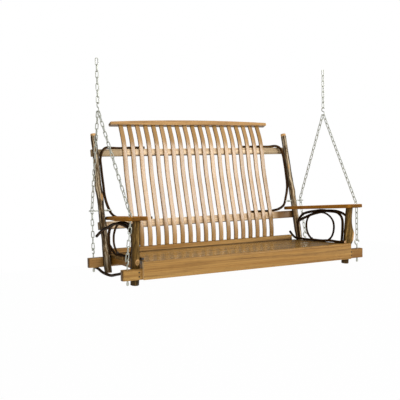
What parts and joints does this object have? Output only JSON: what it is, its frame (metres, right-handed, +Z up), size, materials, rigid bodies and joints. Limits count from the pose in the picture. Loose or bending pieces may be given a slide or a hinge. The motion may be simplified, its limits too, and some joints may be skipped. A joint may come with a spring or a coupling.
{
  "type": "porch swing seat",
  "caption": "Hanging porch bench of oak boards and curved back slats between bent-stick sides, on chains from hooks.",
  "frame": {"origin": "where the bench hangs: midway between the two hanging links, in their upper bends", "axes": "+X to the sitter's left along the bench (the viewer's right), -Y the sitter's front, +Z up"},
  "size_m": [1.676, 0.8731, 1.2998],
  "materials": {
    "oak": "satin clear finish",
    "seat_oak": "glossy clear finish",
    "slat_oak": "satin clear finish",
    "arm_oak": "glossy clear finish",
    "hickory_bark": "bark under clear finish",
    "dark_twig": "bark under clear finish",
    "zinc": "zinc plated",
    "screw_steel": "coated"
  },
  "bodies": {
    "hanger": {"hanging_links": "zinc"},
    "top_chain": {"top_chains": "zinc"},
    "seat": {"front_bearer": "oak", "rear_bearer": "oak", "apron": "oak", "left_seat_rib": "oak", "middle_seat_rib": "oak", "right_seat_rib": "oak", "foot_rail": "oak", "lower_back_rail": "oak", "upper_back_rail": "oak", "seat_board_1": "seat_oak", "seat_board_2": "seat_oak", "seat_board_3": "seat_oak", "seat_board_4": "seat_oak", "seat_board_5": "seat_oak", "slat_01": "slat_oak", "slat_02": "slat_oak", "slat_03": "slat_oak", "slat_04": "slat_oak", "slat_05": "slat_oak", "slat_06": "slat_oak", "slat_07": "slat_oak", "slat_08": "slat_oak", "slat_09": "slat_oak", "slat_10": "slat_oak", "slat_11": "slat_oak", "slat_12": "slat_oak", "slat_13": "slat_oak", "slat_14": "slat_oak", "slat_15": "slat_oak", "slat_16": "slat_oak", "slat_17": "slat_oak", "slat_18": "slat_oak", "slat_19": "slat_oak", "crest_rail": "slat_oak", "left_arm": "arm_oak", "left_rear_post": "hickory_bark", "left_front_post": "hickory_bark", "left_corner_loop": "dark_twig", "left_arch": "dark_twig", "left_hoop": "dark_twig", "left_ring": "dark_twig", "left_seat_branch": "dark_twig", "left_brace": "dark_twig", "right_arm": "arm_oak", "right_rear_post": "hickory_bark", "right_front_post": "hickory_bark", "right_corner_loop": "dark_twig", "right_arch": "dark_twig", "right_hoop": "dark_twig", "right_ring": "dark_twig", "right_seat_branch": "dark_twig", "right_brace": "dark_twig", "front_bridle_chains": "zinc", "rear_bridle_chains": "zinc", "s_hooks": "zinc", "pigtail_hooks": "zinc", "hook_nuts": "zinc", "wood_screws": "screw_steel"}
  },
  "joints": [
    {"name": "swing", "type": "hinge", "parent": "hanger", "child": "top_chain", "pos_m": [0, 0, -0.0399], "axis": [1, 0, 0], "range_deg": [-25, 25]},
    {"name": "bridle_pivot", "type": "hinge", "parent": "top_chain", "child": "seat", "pos_m": [0, 0, -0.26132], "axis": [1, 0, 0], "range_deg": [-12, 12]}
  ]
}
